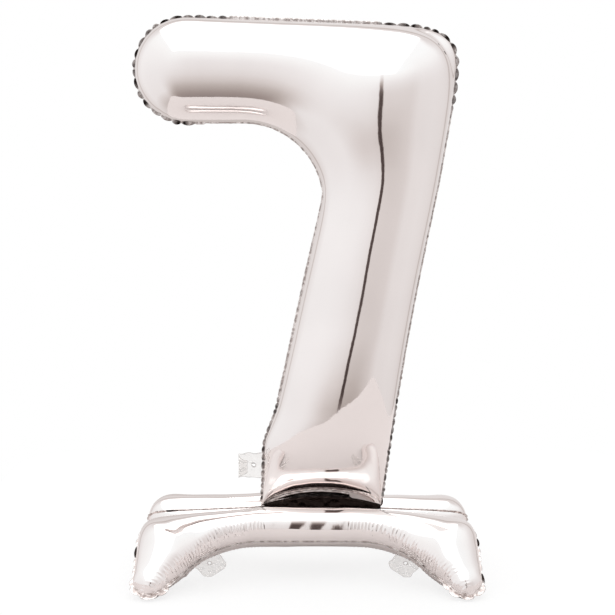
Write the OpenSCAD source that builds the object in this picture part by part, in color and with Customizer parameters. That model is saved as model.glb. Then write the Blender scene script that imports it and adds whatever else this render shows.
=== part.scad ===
// Foil number balloon: an inflated figure seven that stands on two inflated arches.
// Front is -Y, up is +Z, and the origin is on the floor under the middle of the base.

/* [Figure seven] */
// Height of the seam along the top of the bar, at its left end
bar_top_z = 758; // [752:0.5:762]
// Height of the seam along the underside of the bar
bar_bottom_z = 619; // [612:0.5:626]
// Centre of the bar's rounded left end
bar_end_x = -162; // [-170:1:-155]
// Downward slope of the top edge, in degrees
top_slope = 2.1; // [0:0.1:4]
// Radius of the inside corner's seam
inside_corner_r = 108; // [100:1:112]
// Height of the leg's lower corners
leg_bottom_z = 92; // [90:0.5:96]
// Lower left corner of the leg
leg_bottom_left = -63; // [-68:1:-58]
// Lower right corner of the leg
leg_bottom_right = 102; // [97:1:107]
// Rise of the bottom seam at its middle
bottom_rise = 12; // [6:0.5:15]
// Depth of the inflated tube, as a share of its width
fullness = 0.94; // [0.8:0.01:1]

/* [Base arches] */
// Height of each arch's top seam
arch_top_z = 85; // [84:0.5:86]
// Distance of each arch's top seam from the middle plane
arch_top_y = 15; // [13:0.5:17]
// Lean of each arch away from upright, in degrees
arch_lean = 55.6; // [54:0.1:57]
// Half the length of the straight middle of an arch
arch_flat = 65; // [60:1:70]
// Width of the tube between its seams at the middle
arch_tube = 50; // [46:0.5:52]
// Radius of the seam round the opening under an arch
arch_inner_r = 117; // [112:1:120]
// Half the width of an arch, seam to seam
arch_half_width = 229; // [225:1:233]
// Radius of the seam round each foot
foot_r = 23; // [21:0.5:24]

/* [Film] */
// Thickness of a foil panel
panel_t = 0.8; // [0.7:0.05:1]
// Thickness of the heat-sealed margin
seal_t = 0.8; // [0.6:0.1:1]
// Width of the heat-sealed margin outside the seam
seal_w = 6; // [5:0.5:7]
// Thickness of one valve film
film_t = 0.3; // [0.2:0.05:0.4]
// Width of a valve inside its chamber
valve_w = 22; // [18:1:26]
// Length of a valve inside its chamber
valve_len = 70; // [50:1:80]
// Width of the clear tab outside the seam
tab_w = 30; // [26:1:34]
// Length of the clear tab outside the seam
tab_len = 32; // [28:1:36]
// Thickness of the clear tab
tab_t = 0.6; // [0.5:0.1:0.8]
// Radius of the fill hole in a tab
fill_hole_r = 2.2; // [1.5:0.1:3]

/* [Hidden] */

foil = [0.86, 0.81, 0.79];
foil_shade = [0.72, 0.66, 0.64];
clear_film = [0.93, 0.93, 0.92];

// Steps round half of a tube's section
section_steps = 10;
// Lip of the heat-sealed margin inside the seam, which the valve films rest on
seal_lip = 3;
// Gap between pieces on different bodies
gap = 0.3;
// Gap between a margin's outer edge, which may be curved, and the clear tab beside it
tab_gap = 1.5;

// Bar, inside corner and leg of the figure, as [x, z] points of its seam
bar_end_r = (bar_top_z - bar_bottom_z) / 2;
bar_end_z = (bar_top_z + bar_bottom_z) / 2;
corner_x = -86;
corner_z = bar_bottom_z - inside_corner_r;
// Angle of the last rib of the inside corner
corner_last = 6;
// Sharpness of the outside corner, where a larger value is squarer
corner_power = 9;
// Upper end of the leg's straight right edge, its sideways run for each mm of height, and
// how far it bows inward
leg_top_right = [198, 665];
right_slope = (leg_top_right[0] - leg_bottom_right) / (leg_top_right[1] - leg_bottom_z);
leg_right_bow = 5;
// Where the leg's left edge flares out to the valve
leg_flare = [[-42, 229], [-60, 182]];
// Height at which the leg starts to close towards its bottom seam
leg_close_z = 360;

function mix(a, b, t) = a + (b - a) * t;
function top_z(x) = bar_top_z - (x - bar_end_x) * tan(top_slope);

// Distance from the inside corner's centre to the outer seam along a ray at angle a
function corner_reach(a) =
    let (run = leg_top_right[0] - corner_x + (corner_z - leg_top_right[1]) * right_slope,
         to_top = (top_z(corner_x) - corner_z) / (sin(a) + cos(a) * tan(top_slope)),
         to_right = run / max(cos(a) - sin(a) * right_slope, 0.001))
    pow(pow(to_top, -corner_power) + pow(to_right, -corner_power), -1 / corner_power);

// A rib is [outer end, inner end, depth, rise]: it links two points of the seam in the plane
// of the seal, depth is how far the panel stands out at its middle, and rise bows it upward.
function rib(a, b, swell = 1, rise = 0) = [a, b, norm(a - b) / 2 * fullness * swell, rise];

end_ribs = [for (a = [8 : 10.25 : 90])
    rib([bar_end_x - bar_end_r * cos(a), bar_end_z + bar_end_r * sin(a)],
        [bar_end_x - bar_end_r * cos(a), bar_end_z - bar_end_r * sin(a)])];
bar_ribs = [for (x = [bar_end_x + 26 : 25 : corner_x - 1])
    rib([x, top_z(x)], [x, bar_bottom_z])];
corner_ribs = [for (a = [90 : -4.2 : corner_last - 0.1])
    let (ray = [cos(a), sin(a)], centre = [corner_x, corner_z])
    rib(centre + ray * corner_reach(a), centre + ray * inside_corner_r,
        1 - 0.1 * sin(2 * (90 - a)))];

corner_end = corner_ribs[len(corner_ribs) - 1];

// Right edge of the leg at height z
function right_x(z) =
    let (z0 = corner_end[0][1], u = min(max((z0 - z) / (z0 - leg_bottom_z), 0), 1))
    leg_bottom_right + (z - leg_bottom_z) * right_slope - leg_right_bow * sin(180 * u);

// Left edge of the leg at height z
function left_x(z) =
    lookup(z, [[leg_bottom_z, leg_bottom_left], [leg_flare[1][1], leg_flare[1][0]],
               [leg_flare[0][1], leg_flare[0][0]], [corner_end[1][1], corner_end[1][0]]]);

// How far the leg has closed at height z, from 0 to 1 at its bottom seam
function closed(z) = min(max((leg_close_z - z) / (leg_close_z - leg_bottom_z), 0), 1);

leg_steps = 14;
leg_ribs = [for (k = [1 : leg_steps])
    let (q = 1 - pow(1 - k / leg_steps, 1.6), z = mix(corner_end[0][1], leg_bottom_z, q),
         left_z = mix(corner_end[1][1], leg_bottom_z, q), u = closed(z))
    rib([right_x(z), z], [left_x(left_z), left_z],
        max(pow(max(1 - pow(u, 1.8), 0), 0.85), 0.015), bottom_rise * pow(u, 6))];

number_ribs = concat(end_ribs, bar_ribs, corner_ribs, leg_ribs);

// One half of an arch, as [x, v] points, where v runs down the lean from the top seam
arch_centre = [arch_flat, arch_tube + arch_inner_r];
arch_top_droop = 7;
arch_turn = 55;
// Sharpness of an arch's outer shoulders
arch_power = 14;
// How full the tube is at a distance from the arch's middle
arch_swell = [[0, 1.18], [70, 1.2], [100, 1.18], [130, 1.08], [155, 0.88], [180, 0.8],
              [200, 0.95], [230, 1]];
foot_centre = [arch_half_width - foot_r, 116];
foot_axis = (90 + arch_turn) / 2;

function arch_reach(a) =
    let (to_top = arch_centre[1] / (cos(a) + sin(a) * tan(arch_top_droop)),
         to_side = (arch_half_width - arch_flat) / max(sin(a), 0.001))
    pow(pow(to_top, -arch_power) + pow(to_side, -arch_power), -1 / arch_power);

function arch_rib(a, b) = rib(a, b, lookup(abs(a[0] + b[0]) / 2, arch_swell));

arch_middle_ribs = [for (x = [0 : 21.6 : arch_flat]) arch_rib([x, 0], [x, arch_tube])];
arch_shoulder_ribs = [for (a = [5 : 5 : arch_turn + 0.1])
    let (ray = [sin(a), -cos(a)])
    arch_rib(arch_centre + ray * arch_reach(a), arch_centre + ray * arch_inner_r)];
shoulder_end = arch_shoulder_ribs[len(arch_shoulder_ribs) - 1];
foot_across = [sin(foot_axis), -cos(foot_axis)];
foot_down = [cos(foot_axis), sin(foot_axis)];
arch_leg_ribs = [for (t = [0.33, 0.67])
    arch_rib(mix(shoulder_end[0], foot_centre + foot_across * foot_r, t),
             mix(shoulder_end[1], foot_centre - foot_across * foot_r, t))];
arch_foot_ribs = [for (a = [0 : 13.5 : 82])
    let (middle = foot_centre + foot_down * foot_r * sin(a), half = foot_across * foot_r * cos(a))
    arch_rib(middle + half, middle - half)];
half_arch_ribs = concat(arch_middle_ribs, arch_shoulder_ribs, arch_leg_ribs, arch_foot_ribs);

function mirrored(r) = [[-r[0][0], r[0][1]], [-r[1][0], r[1][1]], r[2], r[3]];
arch_ribs = concat(
    [for (i = [len(half_arch_ribs) - 1 : -1 : 1]) mirrored(half_arch_ribs[i])],
    half_arch_ribs);

// Seam outline that a list of ribs spans
function rib_outline(ribs) =
    let (r = ribs[len(ribs) - 1])
    concat([for (q = ribs) q[0]],
           [for (i = [1 : 9]) mix(r[0], r[1], i / 10) + [0, r[3] * sin(18 * i)]],
           [for (i = [len(ribs) - 1 : -1 : 0]) ribs[i][1]]);

// Point of a rib's section at angle a, drawn in by inset: two coordinates in the seam's
// plane, then the height over it, then the inset
function rib_point(r, a, inset) =
    let (half = norm(r[0] - r[1]) / 2, depth = max(r[2] - inset, 0.2),
         p = (r[0] + r[1]) / 2 + (r[0] - r[1]) / 2 * max(1 - inset / half, 0.03) * cos(a))
    [p[0], p[1] + r[3] * pow(sin(a), 2), depth * sin(a), inset];

// Section of the shell at rib i. The rounded ends are solid at their tips, which closes them.
function rib_ring(ribs, i, closed_end) =
    let (r = ribs[i], tip = i == 0 || (closed_end && i == len(ribs) - 1),
         inset = tip ? norm(r[0] - r[1]) / 2 : panel_t)
    concat([for (j = [0 : section_steps]) rib_point(r, 180 * j / section_steps, 0)],
           [for (j = [section_steps : -1 : 0]) rib_point(r, 180 * j / section_steps, inset)]);

// Closed shell of one panel over its ribs, where place() maps a section's point into position
module panel(ribs, closed_end, place) {
    ring = 2 * (section_steps + 1);
    last = len(ribs) - 1;
    points = [for (i = [0 : last]) each rib_ring(ribs, i, closed_end)];
    walls = [for (i = [0 : last - 1], k = [0 : ring - 1])
        let (a = i * ring + k, b = i * ring + (k + 1) % ring)
        each [[a, b + ring, b], [a, a + ring, b + ring]]];
    near_end = [for (j = [0 : section_steps - 1])
        each [[j, ring - 2 - j, ring - 1 - j], [j, j + 1, ring - 2 - j]]];
    far_end = [for (f = near_end) [f[0], f[2], f[1]] + [1, 1, 1] * last * ring];
    polyhedron([for (p = points) place(p)], concat(walls, near_end, far_end));
}

// Heat-sealed margin round a chamber, flat, from a lip inside the seam to its outer edge
module seal_outline(ribs) {
    outline = rib_outline(ribs);
    difference() {
        offset(r = seal_w, $fn = 32) polygon(outline);
        offset(delta = -seal_lip) polygon(outline);
    }
}

// One flat film of a valve, lying from the origin along +X, on the side that side gives
module valve_film(length, side) {
    translate([0, -valve_w / 2, side * (seal_t + film_t) / 2 - film_t / 2])
        cube([length, valve_w, film_t]);
}

// Clear end of a valve, lying from the origin along +X, with its round fill hole
module valve_tab() {
    corner = 5;
    hole_at = 6;
    corners = [[corner, corner - tab_w / 2, 180], [tab_len - corner, corner - tab_w / 2, 270],
               [tab_len - corner, tab_w / 2 - corner, 0], [corner, tab_w / 2 - corner, 90]];
    linear_extrude(tab_t, center = true)
        difference() {
            polygon([for (c = corners, a = [0 : 15 : 90])
                [c[0] + corner * cos(c[2] + a), c[1] + corner * sin(c[2] + a)]]);
            translate([hole_at, 0]) circle(fill_hole_r, $fn = 48);
        }
}

// ---- Figure seven, whose seam lies in the middle plane ----

function number_place(p) = [p[0], -p[2] - seal_t / 2, p[1]];
// Height of the valve on the leg's left edge, and the seam there
number_valve_z = 148;
number_valve_x = mix(leg_bottom_left, leg_flare[1][0],
    (number_valve_z - leg_bottom_z) / (leg_flare[1][1] - leg_bottom_z));
// Lower edge of the flat foil between the figure and its base
web_bottom_z = 86;
film_start = 1.6;

module number_front_panel() {
    color(foil) panel(number_ribs, false, function (p) number_place(p));
}

module number_rear_panel() {
    color(foil) mirror([0, 1, 0]) panel(number_ribs, false, function (p) number_place(p));
}

module web_outline() {
    polygon(concat(
        [for (t = [0 : 0.1 : 1])
            [mix(leg_bottom_right, leg_bottom_left, t), leg_bottom_z + bottom_rise * sin(180 * t)]],
        [[leg_bottom_left, web_bottom_z], [leg_bottom_right, web_bottom_z]]));
}

module number_seal_band() {
    color(foil_shade) rotate([90, 0, 0]) linear_extrude(seal_t, center = true)
        difference() {
            seal_outline(number_ribs);
            web_outline();
        }
}

module number_base_web() {
    color(foil_shade) rotate([90, 0, 0]) linear_extrude(seal_t, center = true) web_outline();
}

module number_valve_film(side) {
    color(clear_film)
        translate([number_valve_x + film_start, 0, number_valve_z]) rotate([90, 0, 0])
            valve_film(valve_len, side);
}

module number_valve_front_film() { number_valve_film(1); }
module number_valve_rear_film() { number_valve_film(-1); }

module number_valve_tab() {
    color(clear_film)
        translate([number_valve_x - seal_w - tab_gap, 0, number_valve_z]) rotate([90, 0, 180])
            valve_tab();
}

// ---- Base arches, which lean away from the middle plane ----

// From the plane of an arch's seam, as [x, v, height], into the front arch's place, on the
// side of that plane that side gives. The feet are pressed flat where they meet the floor.
function arch_place(p, side) =
    let (h = side * (p[2] + seal_t / 2),
         z = arch_top_z - p[1] * cos(arch_lean) + h * sin(arch_lean))
    [side * p[0], -arch_top_y - p[1] * sin(arch_lean) - h * cos(arch_lean),
     max(z, p[3] > 0 ? panel_t : 0)];

// Children drawn in the plane of the front arch's seam, with +Y up the lean
module in_arch_plane() {
    translate([0, -arch_top_y, arch_top_z]) rotate([90 - arch_lean, 0, 0]) children();
}

// Direction from the arch's inner seam towards the opening at the valve, as an angle round
// the centre of that seam, and the valve's place on the seam
arch_valve_turn = 39;
arch_valve_at = [-arch_centre[0] - arch_inner_r * sin(arch_valve_turn),
                 arch_inner_r * cos(arch_valve_turn) - arch_centre[1]];
arch_valve_len = 45;

// Children at the valve on one side of an arch's opening: side 1 is the left and -1 the right,
// as seen from in front of that arch
module at_arch_valve(distance, side) {
    in_arch_plane() translate([side * arch_valve_at[0], arch_valve_at[1]])
        rotate(-90 + side * arch_valve_turn) translate([distance, 0, 0]) children();
}

module arch_outer_panel() {
    panel(arch_ribs, true, function (p) arch_place(p, 1));
}

module arch_inner_panel() {
    panel(arch_ribs, true, function (p) arch_place(p, -1));
}

// The margin round an arch, with the flat strip that joins its top to the foil under the figure
module arch_seal_band() {
    strip_half = 58;
    strip_top = [-arch_top_y + seal_w * sin(arch_lean), arch_top_z + seal_w * cos(arch_lean)];
    in_arch_plane() linear_extrude(seal_t, center = true) mirror([0, 1]) seal_outline(arch_ribs);
    translate([-strip_half, strip_top[0] - seal_t, strip_top[1] - seal_t])
        cube([2 * strip_half, -strip_top[0] + seal_t - seal_t / 2 - gap, seal_t]);
}

module arch_valve_film(side, face) {
    color(clear_film)
        at_arch_valve(-film_start, side) rotate([0, 0, 180]) valve_film(arch_valve_len, face);
}

module arch_valve_tab(side) {
    color(clear_film) at_arch_valve(seal_w + tab_gap, side) valve_tab();
}

// The rear arch is the front one turned half round
module turned() {
    rotate([0, 0, 180]) children();
}

module front_arch_outer_panel() { color(foil) arch_outer_panel(); }
module front_arch_inner_panel() { color(foil) arch_inner_panel(); }
module front_arch_seal_band() { color(foil_shade) arch_seal_band(); }
module front_arch_left_valve_outer_film() { arch_valve_film(1, 1); }
module front_arch_left_valve_inner_film() { arch_valve_film(1, -1); }
module front_arch_left_valve_tab() { arch_valve_tab(1); }
module front_arch_right_valve_outer_film() { arch_valve_film(-1, 1); }
module front_arch_right_valve_inner_film() { arch_valve_film(-1, -1); }
module front_arch_right_valve_tab() { arch_valve_tab(-1); }
module rear_arch_outer_panel() { turned() front_arch_outer_panel(); }
module rear_arch_inner_panel() { turned() front_arch_inner_panel(); }
module rear_arch_seal_band() { turned() front_arch_seal_band(); }
module rear_arch_left_valve_outer_film() { turned() front_arch_left_valve_outer_film(); }
module rear_arch_left_valve_inner_film() { turned() front_arch_left_valve_inner_film(); }
module rear_arch_left_valve_tab() { turned() front_arch_left_valve_tab(); }
module rear_arch_right_valve_outer_film() { turned() front_arch_right_valve_outer_film(); }
module rear_arch_right_valve_inner_film() { turned() front_arch_right_valve_inner_film(); }
module rear_arch_right_valve_tab() { turned() front_arch_right_valve_tab(); }

number_front_panel();
number_rear_panel();
number_seal_band();
number_base_web();
number_valve_front_film();
number_valve_rear_film();
number_valve_tab();
front_arch_outer_panel();
front_arch_inner_panel();
front_arch_seal_band();
front_arch_left_valve_outer_film();
front_arch_left_valve_inner_film();
front_arch_left_valve_tab();
front_arch_right_valve_outer_film();
front_arch_right_valve_inner_film();
front_arch_right_valve_tab();
rear_arch_outer_panel();
rear_arch_inner_panel();
rear_arch_seal_band();
rear_arch_left_valve_outer_film();
rear_arch_left_valve_inner_film();
rear_arch_left_valve_tab();
rear_arch_right_valve_outer_film();
rear_arch_right_valve_inner_film();
rear_arch_right_valve_tab();
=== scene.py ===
from math import cos, pi, radians, sin, tan

import bpy
import numpy as np
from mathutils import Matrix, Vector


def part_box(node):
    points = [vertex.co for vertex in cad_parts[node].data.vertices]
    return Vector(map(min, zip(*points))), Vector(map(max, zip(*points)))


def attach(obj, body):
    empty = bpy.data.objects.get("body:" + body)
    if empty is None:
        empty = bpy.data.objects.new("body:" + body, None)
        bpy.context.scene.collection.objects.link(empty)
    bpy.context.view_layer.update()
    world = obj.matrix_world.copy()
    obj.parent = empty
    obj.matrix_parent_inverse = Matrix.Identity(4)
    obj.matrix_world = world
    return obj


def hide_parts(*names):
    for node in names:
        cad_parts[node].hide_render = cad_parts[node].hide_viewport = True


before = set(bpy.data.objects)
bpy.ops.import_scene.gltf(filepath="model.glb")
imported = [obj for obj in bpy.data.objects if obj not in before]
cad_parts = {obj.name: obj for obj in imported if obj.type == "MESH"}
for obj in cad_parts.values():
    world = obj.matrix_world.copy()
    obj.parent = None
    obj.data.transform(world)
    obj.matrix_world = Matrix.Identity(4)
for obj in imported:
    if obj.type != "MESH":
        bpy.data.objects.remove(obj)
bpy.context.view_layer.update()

# ---------------------------------------------------------------- dimensions, in metres
# The figure's seam, as x and z in its middle plane
BAR_TOP, BAR_BOTTOM, BAR_END_X, TOP_SLOPE = .758, .619, -.162, radians(2.1)
INNER_R, POWER, CORNER_LAST = .108, 9., 6.
LEG_Z, LEG_L, LEG_R, RISE, FULL = .092, -.063, .102, .012, .94
CORNER_X, CORNER_Z = -.086, BAR_BOTTOM - INNER_R
LEG_TOP, BOW = (.198, .665), .005
SLOPE = (LEG_TOP[0] - LEG_R) / (LEG_TOP[1] - LEG_Z)
FLARE = ((-.042, .229), (-.060, .182))
LEG_CLOSE_Z = .345
END_R, END_Z = (BAR_TOP - BAR_BOTTOM) / 2, (BAR_TOP + BAR_BOTTOM) / 2
# An arch's seam, as x and the distance v down its leaning plane
TOP_Z, TOP_Y, LEAN = .085, .015, radians(55.6)
ARCH_FLAT, ARCH_TUBE, ARCH_IN, ARCH_HALF, FOOT_R = .065, .050, .117, .229, .023
ARCH_POWER = 14.
ARCH_C = np.array((ARCH_FLAT, ARCH_TUBE + ARCH_IN))
DROOP, TURN = radians(7), 55.
# How full the tube is, at distances from the arch's middle
ARCH_SWELL = ((0, .07, .10, .13, .155, .18, .20, .23), (1.18, 1.2, 1.18, 1.08, .88, .80, .95, 1.))
FOOT_C, FOOT_AXIS = np.array((ARCH_HALF - FOOT_R, .116)), radians((90 + TURN) / 2)
FILM = .0002            # half the thickness of the sealed margin
SKIN = .00035           # thickness of a foil skin
CLEAR = .00018          # thickness of a clear tab
MARGIN_LIP = .0022      # how far the margin reaches inside the seam
STRIP_HALF = .058       # half the length of the strip that joins an arch to the figure
SEAM_W = .006           # width of the margin along that strip
NUMBER_VALVE_Z, VALVE_TURN = .148, radians(39)
HOLE = (.0125, .0022)   # fill hole's distance from the seam, and its radius


# ---------------------------------------------------------------- small helpers
def smooth(x, a, b):
    """0 below a, 1 above b, smooth between."""
    t = np.clip((x - a) / (b - a), 0, 1)
    return t * t * (3 - 2 * t)


def field(p, wavelength, seed, waves=28):
    """A smooth random field of about unit size over the points p."""
    rng = np.random.RandomState(seed)
    d = rng.normal(size=(waves, p.shape[-1]))
    d /= np.linalg.norm(d, axis=1, keepdims=True)
    k = d * (2 * pi / wavelength) * rng.uniform(.65, 1.5, (waves, 1))
    ph = rng.uniform(0, 2 * pi, waves)
    out = np.zeros(p.shape[:-1])
    for kk, f in zip(k, ph):
        out += np.cos(p @ kk + f)
    return out * (2 / waves) ** .5


def mesh_from(name, verts, faces, painted_shade=None):
    me = bpy.data.meshes.new(name)
    me.from_pydata([tuple(v) for v in np.asarray(verts).tolist()], [], faces)
    me.update()
    me.polygons.foreach_set("use_smooth", [True] * len(me.polygons))
    if painted_shade is not None:
        at = me.attributes.new("painted_shade", "FLOAT", "POINT")
        at.data.foreach_set("value", np.asarray(painted_shade, np.float32))
    ob = bpy.data.objects.new(name, me)
    bpy.context.collection.objects.link(ob)
    return ob


# ---------------------------------------------------------------- outlines
def top_z(x):
    return BAR_TOP - (x - BAR_END_X) * tan(TOP_SLOPE)


def corner_reach(a):
    run = LEG_TOP[0] - CORNER_X + (CORNER_Z - LEG_TOP[1]) * SLOPE
    to_top = (top_z(CORNER_X) - CORNER_Z) / (sin(a) + cos(a) * tan(TOP_SLOPE))
    to_right = run / max(cos(a) - sin(a) * SLOPE, .001)
    return (to_top ** -POWER + to_right ** -POWER) ** (-1 / POWER)


def number_ribs():
    """Rows of (outer end x z, inner end x z, depth, rise) along the figure."""
    rows = []

    def add(a, b, swell=1., rise=0.):
        depth = np.hypot(a[0] - b[0], a[1] - b[1]) / 2 * FULL * swell
        rows.append((a[0], a[1], b[0], b[1], depth, rise))

    for a in np.radians(np.linspace(0, 90, 80)):
        x = BAR_END_X - END_R * cos(a)
        add((x, END_Z + END_R * sin(a)), (x, END_Z - END_R * sin(a)))
    for x in np.linspace(BAR_END_X, CORNER_X, 40)[1:]:
        add((x, top_z(x)), (x, BAR_BOTTOM))
    for d in np.linspace(90, CORNER_LAST, 200)[1:]:
        a = radians(d)
        reach = corner_reach(a)
        add((CORNER_X + cos(a) * reach, CORNER_Z + sin(a) * reach),
            (CORNER_X + cos(a) * INNER_R, CORNER_Z + sin(a) * INNER_R),
            1 - .16 * sin(2 * radians(90 - d)))
    z0, left0 = rows[-1][1], (rows[-1][2], rows[-1][3])
    left = np.array([left0, FLARE[0], FLARE[1], (LEG_L, LEG_Z)])
    for q in 1 - (1 - np.linspace(0, 1, 260)[1:]) ** 1.6:
        z = z0 + (LEG_Z - z0) * q
        u = (z0 - z) / (z0 - LEG_Z)
        zl = left0[1] + (LEG_Z - left0[1]) * q
        xl = np.interp(-zl, -left[:, 1], left[:, 0])
        shut = max((LEG_CLOSE_Z - z) / (LEG_CLOSE_Z - LEG_Z), 0)
        add((LEG_R + (z - LEG_Z) * SLOPE - BOW * sin(pi * u), z), (xl, zl),
            max(1 - shut ** 1.8, 0) ** .85, RISE * shut ** 6)
    return np.array(rows)


def arch_reach(a):
    to_top = ARCH_C[1] / (cos(a) + sin(a) * tan(DROOP))
    to_side = (ARCH_HALF - ARCH_FLAT) / max(sin(a), .001)
    return (to_top ** -ARCH_POWER + to_side ** -ARCH_POWER) ** (-1 / ARCH_POWER)


def arch_ribs():
    half = []

    def add(a, b):
        half.append((a[0], a[1], b[0], b[1]))

    for x in np.linspace(0, ARCH_FLAT, 30):
        add((x, 0), (x, ARCH_TUBE))
    for d in np.linspace(0, TURN, 110)[1:]:
        ray = np.array((sin(radians(d)), -cos(radians(d))))
        add(ARCH_C + ray * arch_reach(radians(d)), ARCH_C + ray * ARCH_IN)
    end = np.array(half[-1])
    across = np.array((sin(FOOT_AXIS), -cos(FOOT_AXIS)))
    down = np.array((cos(FOOT_AXIS), sin(FOOT_AXIS)))
    start = np.concatenate([FOOT_C + across * FOOT_R, FOOT_C - across * FOOT_R])
    for t in np.linspace(0, 1, 30)[1:-1]:
        half.append(tuple(end + (start - end) * t))
    for a in np.radians(np.linspace(0, 90, 60)):
        m, w = FOOT_C + down * FOOT_R * sin(a), across * FOOT_R * cos(a)
        add(m + w, m - w)
    half = np.array(half)
    both = np.vstack([half[:0:-1] * (-1, 1, -1, 1), half])
    depth = np.hypot(both[:, 0] - both[:, 2], both[:, 1] - both[:, 3]) / 2 * FULL
    swell = np.interp(np.abs(both[:, 0] + both[:, 2]) / 2, *ARCH_SWELL)
    depth *= along(swell, 5)
    return np.column_stack([both, depth, np.zeros(len(both))])


def resample(rows, step, soften):
    """Ribs at an even step along the longer of their two sides, with their kinks smoothed."""
    d = np.diff(rows, axis=0)
    run = np.maximum(np.maximum(np.hypot(d[:, 0], d[:, 1]), np.hypot(d[:, 2], d[:, 3])),
                     np.abs(d[:, 4]))
    run = np.concatenate([[0], np.cumsum(run)])
    q = np.linspace(0, run[-1], int(run[-1] / step) + 1)
    out = np.column_stack([np.interp(q, run, c) for c in rows.T])
    k = int(3 * soften / step)
    w = np.exp(-.5 * (np.arange(-k, k + 1) * step / soften) ** 2)
    w /= w.sum()
    pad = np.vstack([2 * out[0] - out[k:0:-1], out, 2 * out[-1] - out[-2:-k - 2:-1]])
    sm = np.column_stack([np.convolve(c, w, "valid") for c in pad.T])
    sm[0], sm[-1] = out[0], out[-1]
    return sm


# ---------------------------------------------------------------- an inflated chamber
def along(values, steps):
    """Values smoothed along the ribs, over about that many ribs."""
    k = int(3 * steps)
    w = np.exp(-.5 * (np.arange(-k, k + 1) / steps) ** 2)
    w /= w.sum()
    pad = np.concatenate([np.repeat(values[:1], k, 0), values, np.repeat(values[-1:], k, 0)])
    out = np.zeros_like(values)
    for i, c in enumerate(w):
        out += c * pad[i:i + len(values)]
    return out


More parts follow.
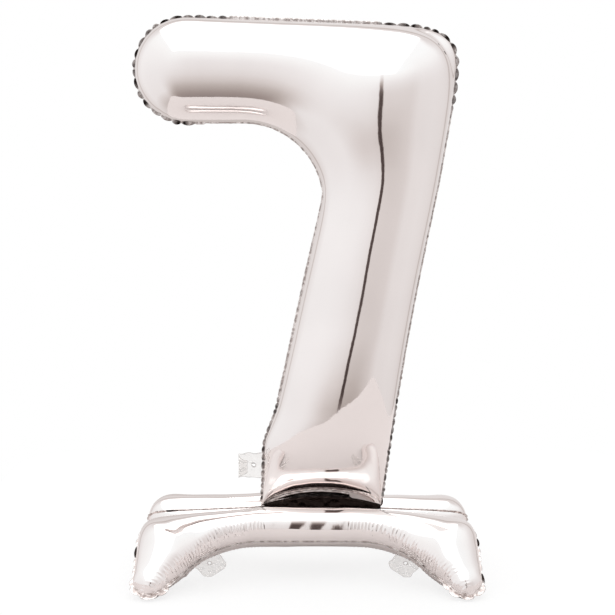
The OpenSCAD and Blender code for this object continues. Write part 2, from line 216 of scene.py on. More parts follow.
class Chamber:
    """Two skins over one set of ribs, and the sealed margin round them."""

    bend, bend_steps, flip = None, 1., 1

    def __init__(self, rows, across, closed_end):
        self.a, self.b = rows[:, 0:2], rows[:, 2:4]
        self.depth, self.rise = rows[:, 4], rows[:, 5]
        self.n, self.m, self.closed_end = len(rows), across, closed_end
        self.t = np.linspace(0, pi, across + 1)
        parts = [self.a]
        if not closed_end:
            u = np.linspace(0, 1, across + 1)[1:-1, None]
            row_end = self.a[-1] + (self.b[-1] - self.a[-1]) * u
            row_end[:, 1] += self.rise[-1] * np.sin(pi * u[:, 0])
            parts.append(row_end)
        parts.append(self.b[::-1][1:] if closed_end else self.b[::-1])
        loop = np.vstack(parts)[:-1]
        self.loop = loop
        nxt, prv = np.roll(loop, -1, 0), np.roll(loop, 1, 0)
        tang = nxt - prv
        seg = np.linalg.norm(nxt - loop, axis=1)
        self.s = np.concatenate([[0], np.cumsum(seg)])[:-1]
        self.total = seg.sum()
        tang /= np.maximum(np.linalg.norm(tang, axis=1, keepdims=True), 1e-9)
        normal = np.column_stack([tang[:, 1], -tang[:, 0]])
        area = .5 * np.sum(loop[:, 0] * nxt[:, 1] - nxt[:, 0] * loop[:, 1])
        normal *= 1 if area > 0 else -1
        k = 9
        pad = np.vstack([normal[-k:], normal, normal[:k]])
        w = np.hanning(2 * k + 3)[1:-1]
        w /= w.sum()
        normal = np.column_stack([np.convolve(c, w, "valid") for c in pad.T])
        self.normal = normal / np.linalg.norm(normal, axis=1, keepdims=True)
        # where each rib's two ends are along the loop
        self.sa = self.s[:self.n]
        back = self.s[len(loop) - np.arange(self.n)[1:]]
        self.sb = np.concatenate([[self.total], back])

    def at(self, s):
        """Point of the loop at distance s along it."""
        return np.array([np.interp(s, self.s, c) for c in self.loop.T])

    def notches(self, spacing, seed):
        """Places of the gathers along the loop, at the local spacing, as (s, random)."""
        rng = np.random.RandomState(seed)
        out, s = [], rng.uniform(0, .01)
        while s < self.total - .004:
            out.append((s, rng.uniform(0, 1)))
            s += spacing(self.at(s)) * rng.uniform(.72, 1.28)
        return out

    def skin(self, name, place, side, gathers, extra):
        """One skin. gathers are (s, amplitude, length, width); extra(p2, da, db) adds height."""
        mid, half = (self.a + self.b) / 2, (self.a - self.b) / 2
        hw = np.linalg.norm(half, axis=1)
        t = self.t[None, :]
        da = hw[:, None] * t
        db = hw[:, None] * (pi - t)
        pull_a = np.zeros((self.n, self.m + 1))
        pull_b = np.zeros_like(pull_a)
        height = np.zeros_like(pull_a)
        for s0, amp, length, width in gathers:
            for ss, dd, pull in ((self.sa, da, pull_a), (self.sb, db, pull_b)):
                near = np.nonzero(np.abs(ss - s0) < 5 * width + .006)[0]
                if not len(near):
                    continue
                i0, i1 = near[0], near[-1] + 1
                d = dd[i0:i1]
                w = width * (1 + d / .012)
                g = np.exp(-((ss[i0:i1, None] - s0) / w) ** 2) * np.exp(-(d / length) ** 2)
                height[i0:i1] -= amp * g
                pull[i0:i1] += .8 * amp * g * np.exp(-(d / (.5 * length)) ** 2)
        c = np.cos(t)
        p = mid[:, None] + half[:, None] * c[..., None]
        inward = -half / np.maximum(hw, 1e-6)[:, None]
        p = p + inward[:, None] * (pull_a - pull_b)[..., None]
        p[..., 1] += self.rise[:, None] * np.sin(t) ** 2
        h = self.depth[:, None] * np.sin(t)
        if self.bend is not None:
            w = self.bend[:, None] * smooth(np.minimum(da, db), .004, .030)
            p = p + w[..., None] * (along(p, self.bend_steps) - p)
            h = h + w * (along(h, self.bend_steps) - h)
        base = place(p, h + FILM, side)
        height = height + extra(p, base, da, db)
        du, dv = np.gradient(base, axis=0), np.gradient(base, axis=1)
        nrm = np.cross(dv, du) * side * self.flip
        nrm /= np.maximum(np.linalg.norm(nrm, axis=-1, keepdims=True), 1e-9)
        fade = smooth(np.minimum(da, db), .0, .003)
        lift = nrm * (height * fade)[..., None]
        pos = base + lift
        pos[:, 0], pos[:, -1] = base[:, 0], base[:, -1]
        pos[0] = base[0].mean(0)
        if self.closed_end:
            pos[-1] = base[-1].mean(0)
        else:
            pos[-1] = base[-1]
        pos[..., 2] = np.maximum(pos[..., 2], 0)
        return grid_skin(name, pos, side * self.flip, self.closed_end)

    def margin(self, name, place, width, painted_shade, wave, across=6, more=()):
        """The sealed margin: a thin closed strip from just inside the seam to its outer edge."""
        u = np.linspace(0, 1, across + 1)
        w = width()
        start = -MARGIN_LIP
        off = start + (w[:, None] - start) * u[None]
        p = self.loop[:, None] + self.normal[:, None] * off[..., None]
        y = wave(u) * smooth(off, 0, .003)
        top, bottom = place(p, y + FILM, 1), place(p, y - FILM, 1)
        ring = np.concatenate([top, bottom[:, ::-1]], axis=1)
        n, r = ring.shape[:2]
        faces = []
        for i in range(n):
            j = (i + 1) % n
            for k in range(r):
                l = (k + 1) % r
                faces.append((i * r + k, i * r + l, j * r + l, j * r + k))
        tn = painted_shade(u)
        tn = np.concatenate([tn, tn[:, ::-1]], axis=1).ravel()
        verts = ring.reshape(-1, 3)
        for v2, f2 in more:
            k = len(verts)
            verts = np.vstack([verts, v2])
            faces += [tuple(i + k for i in f) for f in f2]
            # painted shade: the extra pieces, the strip joining an arch to the figure, are set fairly dark
            tn = np.concatenate([tn, np.full(len(v2), .6)])
        return mesh_from(name, verts, faces, tn)


def grid_skin(name, pos, sign, closed_end):
    n, m = pos.shape[:2]
    last = n - 1 if closed_end else n
    verts = [pos[0, 0]] + list(pos[1:last].reshape(-1, 3))
    if closed_end:
        verts.append(pos[-1, 0])
    tip = len(verts) - 1

    def at(i, j):
        if i == 0:
            return 0
        if closed_end and i == n - 1:
            return tip
        return 1 + (i - 1) * m + j

    faces = []
    for i in range(n - 1):
        for j in range(m - 1):
            q = [at(i, j), at(i, j + 1), at(i + 1, j + 1), at(i + 1, j)]
            q = [v for k, v in enumerate(q) if v not in q[:k]]
            faces.append(q if sign > 0 else q[::-1])
    ob = mesh_from(name, verts, faces)
    solid = ob.modifiers.new("film", "SOLIDIFY")
    solid.thickness, solid.offset = SKIN, -1
    return ob


# ---------------------------------------------------------------- materials
class Nodes:
    """Short calls for building a node tree."""

    def __init__(self, tree):
        self.t, self.n, self.l = tree, tree.nodes, tree.links
        self.n.clear()

    def new(self, kind, **sets):
        node = self.n.new(kind)
        for k, v in sets.items():
            if k.startswith("i_"):
                key = k[2:]
                sock = node.inputs[int(key)] if key.isdigit() else node.inputs[key.replace("_", " ")]
                self.put(sock, v)
            else:
                setattr(node, k, v)
        return node

    def put(self, sock, v):
        if isinstance(v, bpy.types.NodeSocket):
            self.l.new(v, sock)
        else:
            sock.default_value = v

    def math(self, op, *args, clamp=False):
        node = self.n.new("ShaderNodeMath")
        node.operation, node.use_clamp = op, clamp
        for i, a in enumerate(args):
            self.put(node.inputs[i], a)
        return node.outputs[0]

    def range(self, v, a, b, lo=0., hi=1.):
        node = self.new("ShaderNodeMapRange", interpolation_type="SMOOTHSTEP",
                        i_0=v, i_1=a, i_2=b, i_3=lo, i_4=hi)
        return node.outputs[0]

    def ramp(self, v, stops):
        node = self.n.new("ShaderNodeValToRGB")
        cr = node.color_ramp
        while len(cr.elements) > 1:
            cr.elements.remove(cr.elements[-1])
        cr.elements[0].position = stops[0][0]
        for pos, col in stops[1:]:
            cr.elements.new(pos)
        for e, (pos, col) in zip(cr.elements, stops):
            e.color = (*col, 1) if hasattr(col, "__len__") else (col, col, col, 1)
        self.put(node.inputs[0], v)
        return node.outputs[0]

    def mix(self, f, a, b):
        node = self.n.new("ShaderNodeMix")
        node.data_type = "RGBA"
        self.put(node.inputs[0], f)
        for sock, v in ((node.inputs[6], a), (node.inputs[7], b)):
            self.put(sock, (*v, 1) if isinstance(v, tuple) and len(v) == 3 else v)
        return node.outputs[2]


def material(name):
    ma = bpy.data.materials.new(name)
    ma.use_nodes = True
    return ma, Nodes(ma.node_tree)


FOIL = (.955, .905, .89)


def foil_material(name, base, rough, bump=1., seed=0.):
    ma, g = material(name)
    co = g.new("ShaderNodeTexCoord").outputs["Object"]
    fine = g.new("ShaderNodeTexNoise", i_Vector=co, i_Scale=260., i_Detail=3.).outputs[0]
    mid = g.new("ShaderNodeTexNoise", i_Vector=co, i_Scale=38. + seed, i_Detail=2.).outputs[0]
    cloud = g.new("ShaderNodeTexNoise", i_Vector=co, i_Scale=9. + seed, i_Detail=2.).outputs[0]
    height = g.math("ADD", g.math("MULTIPLY", fine, .000012 * bump),
                    g.math("MULTIPLY", mid, .00012 * bump))
    bmp = g.new("ShaderNodeBump", i_Height=height, i_Strength=1., i_Distance=1.).outputs[0]
    shade = tuple(c * .97 for c in base)
    col = g.mix(g.range(cloud, .35, .65), base, shade)
    rg = g.range(cloud, .3, .7, rough, rough * 1.7)
    bs = g.new("ShaderNodeBsdfPrincipled", i_Base_Color=col, i_Metallic=1., i_Roughness=rg, i_Normal=bmp)
    g.new("ShaderNodeOutputMaterial", i_Surface=bs.outputs[0])
    return ma


def margin_material():
    ma, g = material("sealed_margin_painted_reflections")
    co = g.new("ShaderNodeTexCoord").outputs["Object"]
    painted_shade = g.new("ShaderNodeAttribute", attribute_name="painted_shade").outputs["Fac"]
    grain = g.new("ShaderNodeTexNoise", i_Vector=co, i_Scale=420., i_Detail=3.).outputs[0]
    ripple = g.new("ShaderNodeTexNoise", i_Vector=co, i_Scale=190., i_Detail=2.).outputs[0]
    height = g.math("ADD", g.math("MULTIPLY", grain, .0001), g.math("MULTIPLY", ripple, .0004))
    height = g.math("MULTIPLY", height, g.math("SUBTRACT", 1., g.math("MULTIPLY", painted_shade, .9)))
    bmp = g.new("ShaderNodeBump", i_Height=height, i_Strength=1., i_Distance=1.).outputs[0]
    # painted shade: the margin's silver turns grey where the ripple bump is high, standing in for shade
    # among its crinkles
    light = g.mix(g.range(ripple, .4, .6), (.93, .88, .86), (.55, .49, .47))
    # painted reflection and shade: near-black where the attribute read above is high, standing in for the
    # dark studio mirrored in the gathered scallops and the shade between parts
    dark = g.mix(g.range(grain, .4, .75), (.012, .008, .007), (.05, .038, .034))
    col = g.mix(painted_shade, light, dark)
    bs = g.new("ShaderNodeBsdfPrincipled", i_Base_Color=col, i_Metallic=1., i_Roughness=.22, i_Normal=bmp)
    g.new("ShaderNodeOutputMaterial", i_Surface=bs.outputs[0])
    return ma


def web_material():
    # painted shade and glints: the web is coloured near-black for the shade between figure and base, with
    # thin pale lines standing in for glints on its crumples
    ma, g = material("flat_foil_web_painted_shade")
    co = g.new("ShaderNodeTexCoord").outputs["Object"]
    wave = g.new("ShaderNodeTexNoise", i_Vector=co, i_Scale=55., i_Detail=4., i_Distortion=1.4).outputs[0]
    off_line = g.math("ABSOLUTE", g.math("SUBTRACT", wave, .5))
    painted_glint = g.math("SUBTRACT", 1., g.math("MULTIPLY", off_line, 42.), clamp=True)
    patch = g.new("ShaderNodeTexNoise", i_Vector=co, i_Scale=16., i_Detail=1.).outputs[0]
    painted_glint = g.math("MULTIPLY", painted_glint, g.range(patch, .58, .72))
    painted_glint = g.math("MULTIPLY", painted_glint, .18)
    height = g.math("MULTIPLY", wave, .0008)
    bmp = g.new("ShaderNodeBump", i_Height=height, i_Strength=1., i_Distance=1.).outputs[0]
    # near-black painted shade, turning pale silver along the painted glint lines
    col = g.mix(painted_glint, (.014, .010, .009), (.85, .8, .78))
    bs = g.new("ShaderNodeBsdfPrincipled", i_Base_Color=col, i_Metallic=1., i_Roughness=.25, i_Normal=bmp)
    g.new("ShaderNodeOutputMaterial", i_Surface=bs.outputs[0])
    return ma


def clear_material(name, rough, tint):
    ma, g = material(name)
    co = g.new("ShaderNodeTexCoord").outputs["Object"]
    wr = g.new("ShaderNodeTexNoise", i_Vector=co, i_Scale=90., i_Detail=2.).outputs[0]
    height = g.math("MULTIPLY", wr, .0004)
    bmp = g.new("ShaderNodeBump", i_Height=height, i_Strength=1., i_Distance=1.).outputs[0]
    bs = g.new("ShaderNodeBsdfPrincipled", i_Base_Color=(*tint, 1), i_Metallic=0., i_Roughness=rough,
               i_Normal=bmp, i_IOR=1.3)
    bs.inputs["Transmission Weight"].default_value = 1.
    clear = g.new("ShaderNodeBsdfTransparent", i_Color=(.97, .965, .96, 1)).outputs[0]
    mix = g.new("ShaderNodeMixShader", i_0=.84, i_1=bs.outputs[0], i_2=clear)
    painted_shade = g.new("ShaderNodeAttribute", attribute_name="painted_shade").outputs["Fac"]
    # painted shade: an opaque grey mixed in where the attribute read above is high, standing in for the dark
    # look of the film's edges, creases and hole rim
    painted_rim_shade = g.new("ShaderNodeBsdfPrincipled", i_Base_Color=(.50, .46, .445, 1), i_Roughness=.3)
    both = g.new("ShaderNodeMixShader", i_0=g.math("MULTIPLY", painted_shade, .45, clamp=True),
                 i_1=mix.outputs[0], i_2=painted_rim_shade.outputs[0])
    g.new("ShaderNodeOutputMaterial", i_Surface=both.outputs[0])
    return ma


def srgb(v):
    v = v / 255
    return v / 12.92 if v <= .04045 else ((v + .055) / 1.055) ** 2.4


def studio_world():
    """Soft studio light: an overhead panel, and pale walls that darken downward and towards the
    front, with a narrow dark gap straight ahead. Rays that reach it directly see plain white."""
    w = bpy.data.worlds.new("studio")
    bpy.context.scene.world = w
    w.use_nodes = True
    g = Nodes(w.node_tree)
    d = g.new("ShaderNodeSeparateXYZ", i_0=g.new("ShaderNodeTexCoord").outputs["Generated"])
    x, y, z = d.outputs
    el = g.math("DIVIDE", g.math("ARCSINE", z), pi / 2)
    el = g.math("ADD", g.math("MULTIPLY", el, .5), .5)
    az = g.math("ARCTAN2", x, g.math("MULTIPLY", y, -1.))
    az = g.math("ADD", g.math("DIVIDE", az, 2 * pi), .5)

    def levels(pairs, low, high):
        return [((v - low) / (high - low), l / 255) for v, l in pairs]

    front = g.ramp(el, levels([(-90, 110), (-60, 130), (-48, 150), (-36, 175), (-24, 202), (-12, 222),
                               (0, 233), (12, 240), (24, 246), (32, 250), (40, 255)], -90, 90))
    back = g.ramp(el, levels([(-90, 150), (-60, 205), (-40, 222), (-20, 218), (0, 230), (15, 228), (30, 218),
                              (44, 210), (50, 212), (58, 250)], -90, 90))
    sides = g.ramp(el, levels([(-90, 150), (-60, 180), (-40, 222), (0, 232), (30, 240), (55, 252)], -90, 90))
    turn = g.ramp(az, levels([(-180, 205), (-152, 230), (-110, 255), (-60, 255), (-30, 251), (-10, 245),
                              (0, 238), (6, 222), (15, 221), (45, 224), (60, 237), (90, 240), (120, 235),
                              (142, 226), (160, 240), (180, 240)], -180, 180))
    away = g.math("ABSOLUTE", g.math("SUBTRACT", az, .5))
    to_side = g.range(away, 20 / 360, 60 / 360)
    to_back = g.range(away, 105 / 360, 145 / 360)

    def blend(f, a, b):
        return g.math("ADD", a, g.math("MULTIPLY", f, g.math("SUBTRACT", b, a)))

    level = blend(to_back, blend(to_side, front, sides), back)
    low = g.range(el, .5 + 40 / 180, .5 + 8 / 180)
    level = g.math("MULTIPLY", level, blend(low, 1., turn))
    rise = g.range(el, .5, .5 + 34 / 180)
    gap_at = g.math("SUBTRACT", .5 + 3.6 / 360, g.math("MULTIPLY", rise, 1. / 360))
    gap = g.math("ABSOLUTE", g.math("SUBTRACT", az, gap_at))
    gap = g.math("ADD", gap, g.math("MULTIPLY", rise, .9 / 360))
    gap = g.range(gap, 3.3 / 360, 1.9 / 360)
    gap = g.math("MULTIPLY", gap, g.range(el, .5 + 40 / 180, .5 + 5 / 180))
    gap = g.math("MULTIPLY", gap, g.range(el, .5 - 40 / 180, .5 - 26 / 180))
    level = g.math("MULTIPLY", level, blend(gap, 1., .3))
    ring = g.math("DIVIDE", g.math("SUBTRACT", y, .70), .035)
    ring = g.math("EXPONENT", g.math("MULTIPLY", g.math("MULTIPLY", ring, ring), -1.))
    level = g.math("MULTIPLY", level, blend(ring, 1., .84))
    tints = {0: (0, 0, 0), 50: (67, 55, 53), 80: (98, 85, 82), 110: (127, 114, 111), 140: (160, 146, 141),
             170: (189, 177, 172), 200: (217, 207, 204), 230: (239, 233, 232), 245: (251, 248, 247),
             255: (255, 255, 255)}
    col = g.ramp(level, [(k / 255, tuple(srgb(c) / b for c, b in zip(v, FOIL))) for k, v in tints.items()])
    up = g.math("MAXIMUM", z, .02)
    px, py = g.math("DIVIDE", x, up), g.math("DIVIDE", y, up)
    panel = g.range(px, -.78, -.60)
    for v, a, b in ((px, .50, .36), (py, -1.45, -1.15), (py, .74, .62)):
        panel = g.math("MULTIPLY", panel, g.range(v, a, b))
    panel = g.math("MULTIPLY", panel, g.range(z, .05, .12))
    soft = g.mix(panel, col, (1.75, 1.75, 1.75))
    see = g.new("ShaderNodeLightPath").outputs["Is Camera Ray"]
    col = g.mix(see, soft, (1., 1., 1.))
    bg = g.new("ShaderNodeBackground", i_Color=col, i_Strength=1.)
    g.new("ShaderNodeOutputWorld", i_Surface=bg.outputs[0])


def floor_material():
    ma, g = material("pale_table")
    co = g.new("ShaderNodeTexCoord").outputs["Object"]
    n = g.new("ShaderNodeTexNoise", i_Vector=co, i_Scale=6., i_Detail=2.).outputs[0]
    col = g.mix(n, (.93, .925, .92), (.9, .895, .89))
    bs = g.new("ShaderNodeBsdfPrincipled", i_Base_Color=col, i_Roughness=.7)
    # seen in the foil the table is a pale grey; seen directly it is white with a faint shadow
    dim = g.new("ShaderNodeBsdfDiffuse", i_Color=(.70, .66, .65, 1))
    glow = g.new("ShaderNodeEmission", i_Color=(1, 1, 1, 1), i_Strength=1.)
    lit = g.new("ShaderNodeMixShader", i_0=.80, i_1=bs.outputs[0], i_2=glow.outputs[0])
    see = g.new("ShaderNodeLightPath").outputs["Is Camera Ray"]
    both = g.new("ShaderNodeMixShader", i_0=see, i_1=dim.outputs[0], i_2=lit.outputs[0])
    g.new("ShaderNodeOutputMaterial", i_Surface=both.outputs[0])
    return ma


# ---------------------------------------------------------------- the figure
def place_number(p, h, side):
    return np.stack([p[..., 0], -side * h, p[..., 1]], -1)


number = Chamber(resample(number_ribs(), .0016, .007), 72, False)
turn_start = np.argmax(number.b[:, 0] > CORNER_X)
turn_end = np.argmax(number.b[:, 1] < CORNER_Z)
ribs_at = np.arange(number.n)
number.bend = (smooth(ribs_at, turn_start - 40, turn_start + 25)
               * (1 - smooth(ribs_at, turn_end - 10, turn_end + 60)))
number.bend_steps = 22.
number.depth = number.depth + number.bend * (along(number.depth, 30.) - number.depth)


def zone_number(x, z):
    """How far the margin is gathered into half-moons at a point, from 0 to 1; the half-moons also get
    painted dark reflection.
    """
    cap = smooth(-x, .098, .112) * (z > .69) + smooth(-x, .146, .156) * (z <= .69) * (z > .6)
    corner = smooth(x, .092, .102) * smooth(z, .632, .645)
    low_right = smooth(x, .05, .07) * smooth(-z, -.265, -.24) * .9
    low_left = smooth(-x, .03, .04) * smooth(-z, -.245, -.235) * .9
    return np.clip(cap + corner + low_right + low_left, 0, 1)


def spacing_number(q):
    x, z = q
    if z < .3:
        return .0098
    if zone_number(x, z) > .5:
        return .0150
    return .021


NUM_NOTCH = number.notches(spacing_number, 5)


def number_gathers():
    rng = np.random.RandomState(11)
    out = []
    for s, r in NUM_NOTCH:
        zone = zone_number(*number.at(s))
        amp = (.0004 + .0013 * r) * (.10 + .90 * zone)
        out.append((s, amp, .004 + .007 * rng.uniform() ** 2 * (1 + (r > .75)), .0011))
    # folds spreading from the valve
    for k in range(7):
        z = .128 + .0062 * k
        zz = number.b[:, 1]
        s = np.interp(-z, -zz[number.n // 2:], number.sb[number.n // 2:])
        out.append((s, rng.uniform(.0009, .0018), rng.uniform(.010, .019), .0014))
    # stacked folds up both sides of the leg's bottom
    for k in range(26):
        for side in (0, 1):
            z = (.108 + .0052 * k + rng.uniform(-.0008, .0008))
            ss = number.sb if side else number.sa
            zz = (number.b if side else number.a)[:, 1]
            s = np.interp(-z, -zz[number.n // 2:], ss[number.n // 2:])
            fade = 1 - smooth(z, .15, .24)
            out.append((s, .0011 * fade * rng.uniform(.4, 1), rng.uniform(.007, .013), .0012))
    return out


def number_extra(seed):
    def extra(p, base, da, db):
        near = np.minimum(da, db)
        out = .00030 * field(base, .22, seed) * smooth(near, .01, .05)
        out += .00002 * field(base, .05, seed + 1) * smooth(near, .0, .02)
        crease = np.exp(-(near / .0035) ** 2)
        out += .00012 * field(base, .006, seed + 2) * crease
        return out
    return extra


NUM_G = number_gathers()
n_front = number.skin("number_front_skin", place_number, 1, NUM_G, number_extra(21))
n_rear = number.skin("number_rear_skin", place_number, -1, NUM_G, number_extra(41))


def scallops(ch, notch):
    """Place between gathers along the loop: 0 at a gather, 1 half way, for each loop point."""
    s = np.array([q[0] for q in notch])
    s = np.concatenate([[s[-1] - ch.total], s, [s[0] + ch.total]])
    i = np.clip(np.searchsorted(s, ch.s, side="right") - 1, 0, len(s) - 2)
    return (ch.s - s[i]) / (s[i + 1] - s[i]), i


def number_margin():
    zone = zone_number(number.loop[:, 0], number.loop[:, 1])
    phi, idx = scallops(number, NUM_NOTCH)
    rng = np.random.RandomState(3)
    size = rng.uniform(.65, 1.1, len(NUM_NOTCH) + 3)[idx]
    moon = np.sin(pi * phi) ** .65
    low = smooth(-number.loop[:, 1], -.3, -.25)
    crinkle = field(number.loop, .007, 8) * .00035

    x, z = number.loop[:, 0], number.loop[:, 1]
    top = (z > .7) * 1.
    bottom = ((z < LEG_Z + RISE + .003) * smooth(x, LEG_L + .001, LEG_L + .004)
              * smooth(-x, -LEG_R + .001, -LEG_R + .004))
    inside = smooth(z, .40, .50) * (np.hypot(x - CORNER_X, z - CORNER_Z) < INNER_R + .012)

    def width():
        gathered = .0009 + (.0037 - .0015 * low) * size * moon
        plain = (.0024 + .0016 * top - .0012 * inside + crinkle * (.3 + .7 * low) + .0003 * moon)
        return (gathered * zone + plain * (1 - zone)) * (1 - bottom) + .0022 * bottom

    def painted_shade(u):
        # painted reflection and shade: gathered half-moons, faint random patches and the whole bottom seam
        # between figure and base are darkened, standing in for dark surroundings mirrored in the foil and
        # the shade under the figure
        t = zone * smooth(moon, .25, .55)
        t = t * (.66 + .34 * np.clip(field(number.loop, .02, 78), -1, 1))
        patch = smooth(field(number.loop, .012, 77), .8, 1.7) * (1 - zone) * .22
        edge = (np.clip(t + patch, 0, 1))[:, None] * smooth(u, .2, .38)[None]
        return np.maximum(edge, bottom[:, None])

    def wave(u):
        curl = (.0011 * zone * (moon - .4))[:, None] * u[None] ** 2
        rest = .25 + .75 * np.maximum(low, top)
        fine = (field(number.loop, .005, 9) * .00020 * (1 - .6 * zone) * rest)[:, None] * u[None]
        return curl + fine

    return number.margin("number_margin", place_number, width, painted_shade, wave)


n_margin = number_margin()


def number_web():
    """Flat foil under the figure's bottom seam, slightly crumpled."""
    nx, nz = 90, 14
    u = np.linspace(0, 1, nx + 1)
    x = LEG_L + (LEG_R - LEG_L) * u
    upper = LEG_Z + RISE * np.sin(pi * u) + .0015
    lower = np.full(nx + 1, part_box("number_base_web")[0][2])
    v = np.linspace(0, 1, nz + 1)
    z = lower[:, None] + (upper - lower)[:, None] * v[None]
    xx = np.repeat(x[:, None], nz + 1, 1)
    q = np.stack([xx, z], -1)
    y = .0007 * field(q, .016, 61) * np.sin(pi * v)[None] * np.sin(pi * u)[:, None]
    front = np.stack([xx, y - .0003, z], -1)
    rear = np.stack([xx, y + .0003, z], -1)
    ring = np.concatenate([front, rear[:, ::-1]], axis=1)
    n, r = ring.shape[:2]
    faces = [(i * r + k, (i + 1) * r + k, (i + 1) * r + (k + 1) % r, i * r + (k + 1) % r)
             for i in range(n - 1) for k in range(r)]
    h = r // 2
    for i, rev in ((0, False), (n - 1, True)):
        for k in range(h - 1):
            f = (i * r + k, i * r + k + 1, i * r + r - 2 - k, i * r + r - 1 - k)
            faces.append(f[::-1] if rev else f)
    return mesh_from("number_web", ring.reshape(-1, 3), faces)


n_web = number_web()


# ---------------------------------------------------------------- the arches
def place_arch(p, h, side):
    hh = side * h
    z = TOP_Z - p[..., 1] * cos(LEAN) + hh * sin(LEAN)
    return np.stack([p[..., 0], -TOP_Y - p[..., 1] * sin(LEAN) - hh * cos(LEAN), np.maximum(z, 0)], -1)


def place_rear(p, h, side):
    return place_arch(p, h, side) * (-1, -1, 1)


arch = Chamber(resample(arch_ribs(), .0010, .005), 50, True)
arch.flip = -1
away = np.abs(arch.a[:, 0])
arch.bend = smooth(away, .07, .10) * (1 - smooth(away, .19, .215)) * (arch.a[:, 1] < .09)
arch.bend = along(arch.bend, 12.)
arch.bend_steps = 9.


def foot_zone(v):
    """1 on an arch's feet and 0 above them, where v runs down the lean."""
    return smooth(v, .112, .126)


def spacing_arch(q):
    x, v = abs(q[0]), q[1]
    if v > .112:
        return .0165
    return .017 if x > .16 else .03


def arch_gathers(notch, seed):
    rng = np.random.RandomState(seed)
    out = []
    for s, r in notch:
        x, v = arch.at(s)
        f = foot_zone(v)
        amp = (.0004 + .0005 * r) * (1 - f) + .0021 * f
        length = (.004 + .005 * r) * (1 - f) + .012 * f
        if v < .09 and abs(x) < .075:
            amp = 0.
        elif v < .06:
            amp *= .3
        out.append((s, amp, length, .0012 + .0003 * f))
    return out


def arch_extra(seed):
    def extra(p, base, da, db):
        near = np.minimum(da, db)
        x, v = p[..., 0], p[..., 1]
        out = .00035 * field(base, .12, seed) * smooth(near, .005, .025)
        out += .00007 * field(base, .03, seed + 1)
        # fine gathers standing across the tube, above the seam round the opening
        ax = np.abs(x)
        warp = 1.3 * field(base, .05, seed + 2, 12)
        phase = 2 * pi * arch.sb[:, None] / .00475 + warp
        strength = np.clip(.75 + .5 * field(base, .012, seed + 3, 16), 0, 1.5)
        band = smooth(db, .008, .012) * (1 - smooth(db, .021, .032)) * smooth(ax, .052, .072)
        band *= 1 - smooth(v, .105, .125) * .8
        out += .00062 * np.sin(phase) * band * strength * (.8 + .5 * smooth(ax, .10, .16))
        lower = smooth(db, .002, .004) * (1 - smooth(db, .006, .009)) * smooth(v, .075, .09)
        out += .00030 * np.sin(phase) * lower * (1 - smooth(v, .12, .135)) * strength
        # short puckers along the crest where the tube starts to bend
        crest = np.exp(-((da - .021) / .006) ** 2) * smooth(ax, .062, .075) * (1 - smooth(ax, .105, .12))
        out += .00026 * np.sin(2 * pi * arch.sa[:, None] / .0042 + warp) * crest
        return out
    return extra


def arch_margin(name, place, notch, seed):
    x, v = arch.loop[:, 0], arch.loop[:, 1]
    foot = foot_zone(v)
    phi, idx = scallops(arch, notch)
    moon = np.sin(pi * phi) ** .6
    petal = np.sin(pi * phi) ** .33
    rng = np.random.RandomState(seed)
    pick = rng.uniform(0, 1, len(notch) + 3)[idx]
    side = smooth(np.abs(x), .17, .2)
    inner = (np.hypot(np.abs(x) - ARCH_C[0], v - ARCH_C[1]) < ARCH_IN + .01) & (v > .03)
    inner = inner | ((np.abs(x) < ARCH_FLAT) & (v > .02))
    crinkle = field(arch.loop, .006, seed) * .0003

    def width():
        lobes = .0002 + .0070 * petal
        opening = inner * (1 - smooth(v, .10, .125))
        w = opening * (.0018 + crinkle * .15) + (1 - opening) * (.0010 + .0028 * moon * (.7 + .3 * pick))
        w = w * (1 - foot) + lobes * foot
        above = (v < .045) * (1 - smooth(np.abs(x), .17, .20))
        w = w * (1 - above) + .0014 * above
        top = (1 - smooth(np.abs(x), .060, .078)) * (v < .02)
        return w * (1 - top) + SEAM_W * top

    def painted_shade(u):
        # painted reflection and shade: a few dark scallops on the sides, the seam round the opening under
        # the arch and the top seam against the figure are darkened, standing in for dark surroundings
        # mirrored in the foil and the shade between arch and figure
        t = smooth(moon, .3, .55) * side * (pick > .84) * (~inner) * (1 - foot)
        t = np.maximum(t, .45 * inner * (1 - smooth(v, .10, .125)))
        t = np.maximum(t, .6 * (1 - smooth(np.abs(x), .060, .078)) * (v < .02))
        return t[:, None] * smooth(u, .2, .35)[None]

    def wave(u):
        curl = (.0010 * foot * (petal - .6))[:, None] * u[None] ** 2
        fine = field(arch.loop, .006, seed + 4) * .00012 * (v > .01) * (1 - .9 * foot) * (1 - .9 * inner)
        fine = fine[:, None] * u[None]
        return curl + fine

    # the flat strip from the arch's top margin to the foil under the figure
    sy, sz = -TOP_Y + SEAM_W * sin(LEAN), TOP_Z + SEAM_W * cos(LEAN)
    nx = 60
    xs = np.linspace(-STRIP_HALF, STRIP_HALF, nx + 1)
    rows = [(-.0006, sz - .0002), (sy, sz), (sy, sz - .0007), (-.0006, sz - .0009)]
    verts = np.array([[(a, b, c) for b, c in rows] for a in xs]).reshape(-1, 3)
    faces = [(i * 4 + k, i * 4 + (k + 1) % 4, i * 4 + 4 + (k + 1) % 4, i * 4 + 4 + k)
             for i in range(nx) for k in range(4)]
    faces += [(3, 2, 1, 0), tuple(nx * 4 + k for k in range(4))]
    if place is place_rear:
        verts = verts * (-1, -1, 1)
    return arch.margin(name, place, width, painted_shade, wave, more=[(verts, faces)])


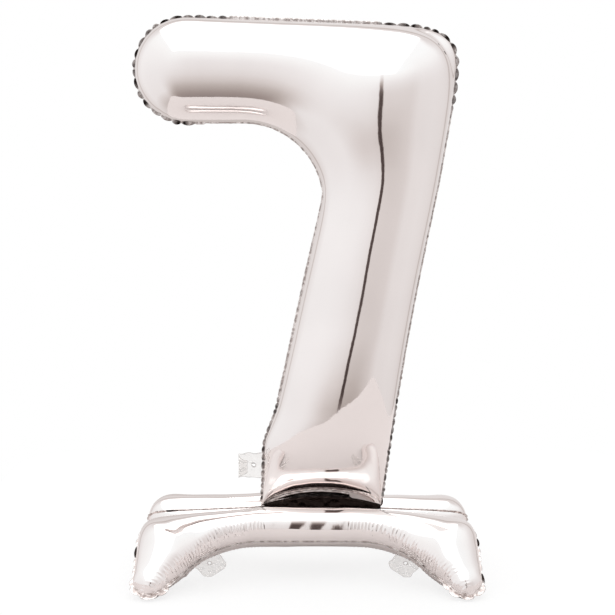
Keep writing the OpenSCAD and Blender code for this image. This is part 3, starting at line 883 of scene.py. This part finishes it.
# ---------------------------------------------------------------- clear valve ends
def curled_tab(name, origin, out, across, up, width, length, curl, seed, hole=None):
    """A crumpled clear film: origin at the seam, out along its length, across its width."""
    nu, nv = 44, 40
    u, v = np.meshgrid(np.linspace(0, 1, nu + 1), np.linspace(-1, 1, nv + 1), indexing="ij")
    out, across, up = (np.array(a, float) / np.linalg.norm(a) for a in (out, across, up))
    ang = curl[0] * np.clip((u - curl[1]) / (1 - curl[1]), 0, 1) ** 1.3
    du = np.gradient(u, axis=0) * length
    run = np.cumsum(np.cos(ang) * du, 0) - du[0]
    rise = np.cumsum(np.sin(ang) * du, 0)
    q = np.stack([u * length, v * width / 2], -1)
    crump = (.0011 * field(q, .016, seed) + .0001 * field(q, .006, seed + 1)) * smooth(u, 0, .3)
    narrow = (1 - .10 * u - .06 * np.sin(pi * u) * np.sin(3 * v)) * (1 - .45 * smooth(u, .6, 1.))
    border = np.minimum((1 - u) * length, (1 - np.abs(v)) * width / 2)
    # painted shade: the film is marked darker towards its edges, along random creases and round the fill
    # hole
    painted_shade = 1 - smooth(border, .0004, .0013)
    crease = np.exp(-(field(q, .022, seed + 5) / .05) ** 2) * smooth(u, .1, .4)
    painted_shade = np.maximum(.75 * painted_shade, .35 * crease)
    w = v * width / 2 * narrow
    rough = .0005 * field(q, .018, seed + 2) * np.abs(v)
    pos = (np.array(origin) + run[..., None] * out + (w + rough)[..., None] * across
           + (rise + crump)[..., None] * up)
    verts = list(pos.reshape(-1, 3))
    faces = [(i * (nv + 1) + j, i * (nv + 1) + j + 1, (i + 1) * (nv + 1) + j + 1, (i + 1) * (nv + 1) + j)
             for i in range(nu) for j in range(nv)]
    if hole:
        keep, hr = [], hole[1]
        centre = np.array((hole[0], 0.))
        flat = q.reshape(-1, 2)
        for f in faces:
            if np.linalg.norm(flat[list(f)].mean(0) - centre) > hr:
                keep.append(f)
        faces = keep
        ring = np.linalg.norm(flat - centre, axis=1).reshape(painted_shade.shape)
        painted_shade = np.maximum(painted_shade, 2.2 * (1 - smooth(ring, hr + .0003, hr + .0014)))
    used = sorted({i for f in faces for i in f})
    new = {old: k for k, old in enumerate(used)}
    verts = [verts[i] for i in used]
    painted_shade = painted_shade.ravel()[used]
    faces = [tuple(new[i] for i in f) for f in faces]
    ob = mesh_from(name, verts, faces, painted_shade)
    solid = ob.modifiers.new("film", "SOLIDIFY")
    solid.thickness, solid.offset = CLEAR, 0
    return ob


# ---------------------------------------------------------------- put together
foil = foil_material("foil", FOIL, .035)
foil_back = foil_material("foil_rear", FOIL, .04, 1.2, 3.)
foil_arch = foil_material("foil_arch", (.93, .88, .865), .04, .8, 5.)
margin_ma = margin_material()
web_ma = web_material()
film_ma = clear_material("valve_film", .12, (.93, .93, .92))
tab_ma = clear_material("clear_tab", .08, (.97, .965, .96))


def dress(ob, ma, body, slot, *nodes):
    ob.data.materials.clear()
    ob.data.materials.append(ma)
    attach(ob, body)
    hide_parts(*nodes)


dress(n_front, foil, "number", "foil", "number_front_panel")
dress(n_rear, foil_back, "number", "foil", "number_rear_panel")
dress(n_margin, margin_ma, "number", "sealed_foil", "number_seal_band")
dress(n_web, web_ma, "number", "sealed_foil", "number_base_web")

valve_x = np.interp(NUMBER_VALVE_Z, (LEG_Z, FLARE[1][1]), (LEG_L, FLARE[1][0]))
n_tab = curled_tab("number_tab_film", (valve_x - .001, 0, NUMBER_VALVE_Z), (-1, 0, .04), (0, 0, 1),
                   (0, -1, 0), .036, .056, (4.4, .42), 71, HOLE)
dress(n_tab, tab_ma, "number_tab", "clear_tab", "number_valve_tab")

for which, place, turned, seed in (("front", place_arch, 1, 100), ("rear", place_rear, -1, 200)):
    notch = arch.notches(spacing_arch, seed)
    gathers = arch_gathers(notch, seed)
    outer = arch.skin(which + "_arch_outer_skin", place, 1, gathers, arch_extra(seed + 10))
    inner = arch.skin(which + "_arch_inner_skin", place, -1, gathers, arch_extra(seed + 20))
    edge = arch_margin(which + "_arch_margin", place, notch, seed + 30)
    body = which + "_arch"
    dress(outer, foil_arch, body, "foil", body + "_outer_panel")
    dress(inner, foil_arch, body, "foil", body + "_inner_panel")
    dress(edge, margin_ma, body, "sealed_foil", body + "_seal_band")
    for hand, sign in (("left", 1), ("right", -1)):
        at = np.array((-sign * (ARCH_C[0] + (ARCH_IN - .001) * sin(VALVE_TURN)),
                       ARCH_C[1] - (ARCH_IN - .001) * cos(VALVE_TURN)))
        way = np.array((sign * sin(VALVE_TURN), cos(VALVE_TURN)))
        cross = np.array((sign * cos(VALVE_TURN), -sin(VALVE_TURN)))
        start, ahead, aside = (place(q[None], np.zeros(1), 1)[0]
                               for q in (at, at + way * .01, at + cross * .01))
        tab = curled_tab(f"{which}_arch_{hand}_tab_film", start, ahead - start, aside - start,
                         np.array((0, -turned, .2)), .038, .040, (1.9, .5), seed + 7 * sign, HOLE)
        dress(tab, tab_ma, f"{body}_{hand}_tab", "clear_tab", f"{body}_{hand}_valve_tab")

for name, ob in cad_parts.items():
    if "film" in name:
        ob.data.materials.clear()
        ob.data.materials.append(film_ma)

# ---------------------------------------------------------------- stage, light and camera
me = bpy.data.meshes.new("table")
corner, edge = [], .12
for cx, cy, a0 in ((.62 - edge, .75 - edge, 0), (-.55 + edge, .75 - edge, 90),
                   (-.55 + edge, -.42 + edge, 180), (.62 - edge, -.42 + edge, 270)):
    for a in np.radians(np.arange(a0, a0 + 91, 10)):
        corner.append((cx + edge * cos(a), cy + edge * sin(a), -.0004))
me.from_pydata(corner, [], [list(range(len(corner)))])
table = bpy.data.objects.new("table", me)
bpy.context.collection.objects.link(table)
me.materials.append(floor_material())

studio_world()
cam = bpy.data.objects.new("camera", bpy.data.cameras.new("camera"))
bpy.context.collection.objects.link(cam)
cam.location = (0, -1.7, .55)
cam.rotation_euler = (radians(90 - 6.1), 0, 0)
cam.data.sensor_width = 36
cam.data.lens = 36 * 1249 / 615
bpy.context.scene.camera = cam
bpy.context.scene.view_settings.view_transform = "Standard"
